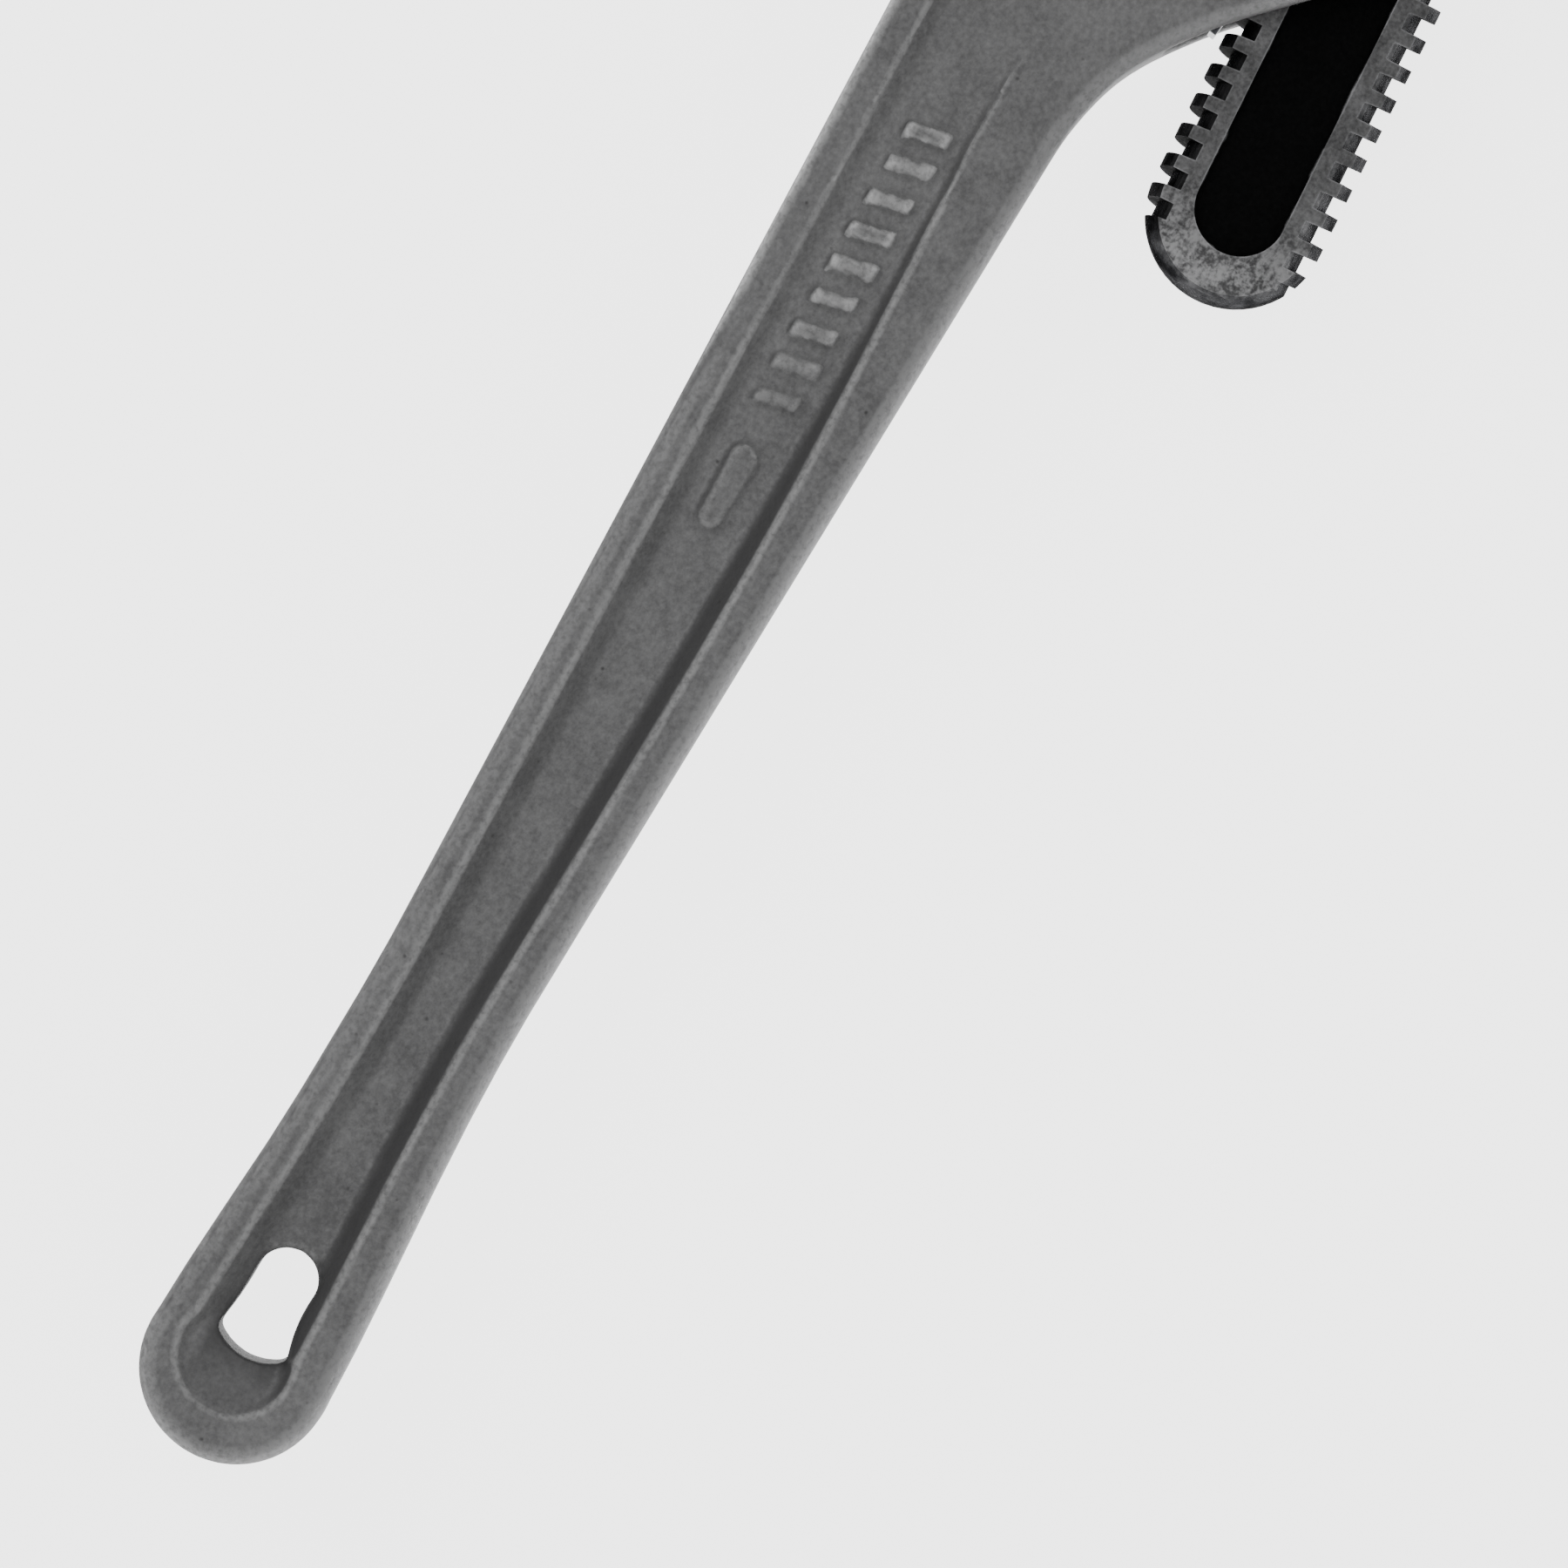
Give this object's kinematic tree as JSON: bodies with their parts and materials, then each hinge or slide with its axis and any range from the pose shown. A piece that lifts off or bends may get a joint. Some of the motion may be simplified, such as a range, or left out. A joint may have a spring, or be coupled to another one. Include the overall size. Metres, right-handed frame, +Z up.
{
  "type": "pipe wrench",
  "caption": "Straight pipe wrench with a cast I-beam handle, a pinned heel jaw, and a threaded hook jaw that an adjusting nut moves and springs hold shut.",
  "frame": {"origin": "under the middle of the wrench's bounding box, on the surface it lies on", "axes": "+X along the handle from its hanging hole to the jaws, +Y to the side where the jaws open, +Z up out of the wrench's broad side"},
  "size_m": [0.4147, 0.0872, 0.038],
  "materials": {
    "cast_aluminium": "sand-cast, grey coated",
    "heel_steel": "hardened, dark",
    "hook_steel": "forged, dark, black painted panel",
    "nut_steel": "knurled",
    "pin_steel": "plain",
    "spring_steel": "blued spring steel"
  },
  "bodies": {
    "handle": {"handle": "cast_aluminium", "heel_jaw": "heel_steel", "heel_jaw_pin": "pin_steel", "coil_spring": "spring_steel"},
    "spring_carrier": {"flat_spring": "spring_steel", "spring_rivet": "pin_steel"},
    "nut": {"adjusting_nut": "nut_steel"},
    "hook_jaw": {"hook_jaw": "hook_steel"}
  },
  "joints": [
    {"name": "jaw_rock", "type": "hinge", "parent": "handle", "child": "spring_carrier", "pos_m": [0.11564, -0.01864, 0.019], "axis": [0, 0, -1], "range_deg": [0, 4], "stiffness_Nm_per_rad": 6, "springref_deg": -5.73, "deforming": ["coil_spring"]},
    {"name": "nut_spin", "type": "hinge", "parent": "spring_carrier", "child": "nut", "pos_m": [0.11564, -0.01864, 0.019], "axis": [-0.9982, -0.0593, 0], "range_deg": [-686.32, 4470.57]},
    {"name": "jaw_slide", "type": "slide", "parent": "spring_carrier", "child": "hook_jaw", "axis": [0.9982, 0.0593, 0], "range_m": [-0.0096, 0.063]}
  ],
  "couplings": [
    {"joint": "nut_spin", "follows": "jaw_slide", "rad_per_m": 1236.8}
  ]
}
